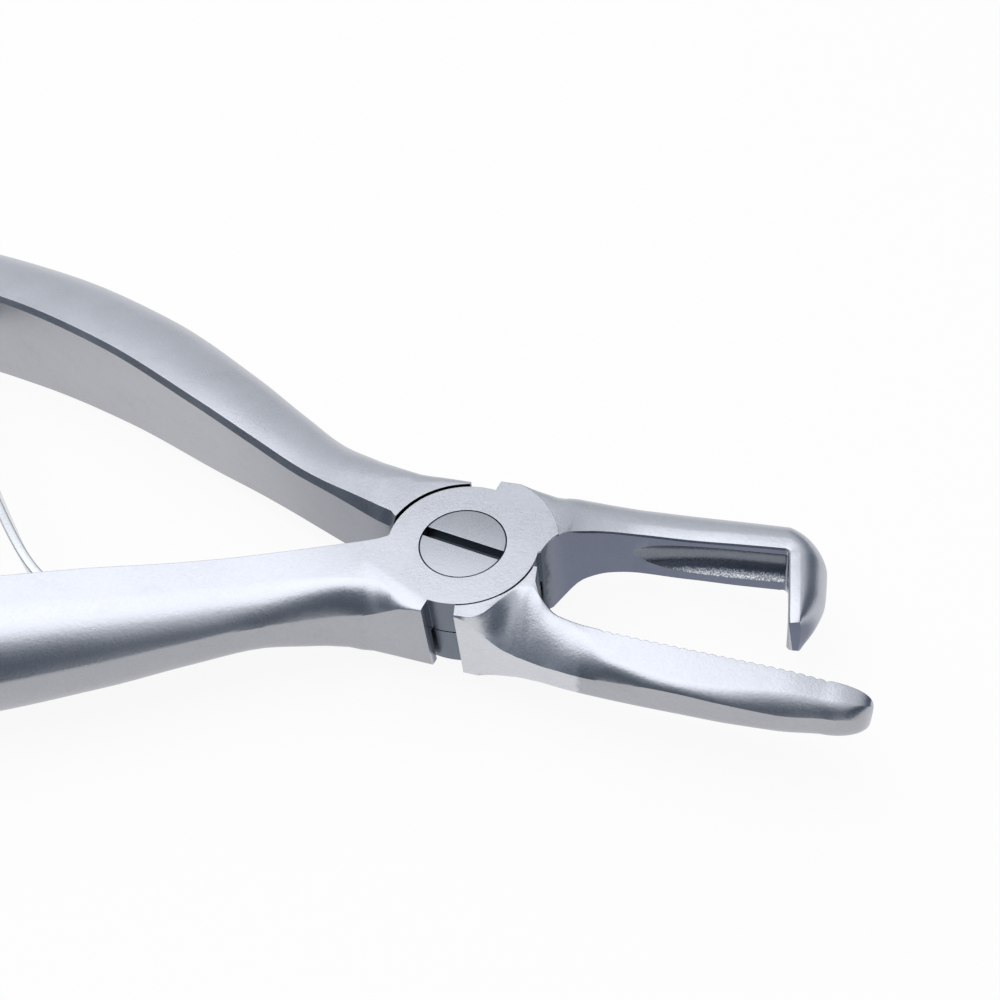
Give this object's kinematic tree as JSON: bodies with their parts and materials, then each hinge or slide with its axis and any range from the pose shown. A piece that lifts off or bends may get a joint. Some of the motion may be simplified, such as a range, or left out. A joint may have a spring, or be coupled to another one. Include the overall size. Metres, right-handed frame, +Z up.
{
  "type": "tartar removing forceps",
  "caption": "Hand forceps with a lap joint, a grooved hook jaw over a finely serrated jaw, curved handles and a leaf spring between them.",
  "frame": {"origin": "on the pivot axis, in the underside plane of the lap joint", "axes": "+X from the joint to the jaws, +Z up along the pivot axis to the slotted screw head, -Y to the side of the serrated jaw"},
  "size_m": [0.1708, 0.072, 0.0142],
  "materials": {
    "satin_steel": "satin bead-blasted stainless steel",
    "screw_steel": "ground stainless steel",
    "spring_steel": "smooth spring steel"
  },
  "bodies": {
    "serrated_half": {"serrated_half": "satin_steel", "joint_screw": "screw_steel", "leaf_spring": "spring_steel", "spring_screw": "screw_steel"},
    "hook_half": {"hook_half": "satin_steel"}
  },
  "joints": [
    {"name": "jaw_pivot", "type": "hinge", "parent": "serrated_half", "child": "hook_half", "pos_m": [0, 0, 0.0045], "axis": [0, 0, 1], "range_deg": [-9.8, 20.4], "stiffness_Nm_per_rad": 1.2, "deforming": ["leaf_spring"]}
  ]
}
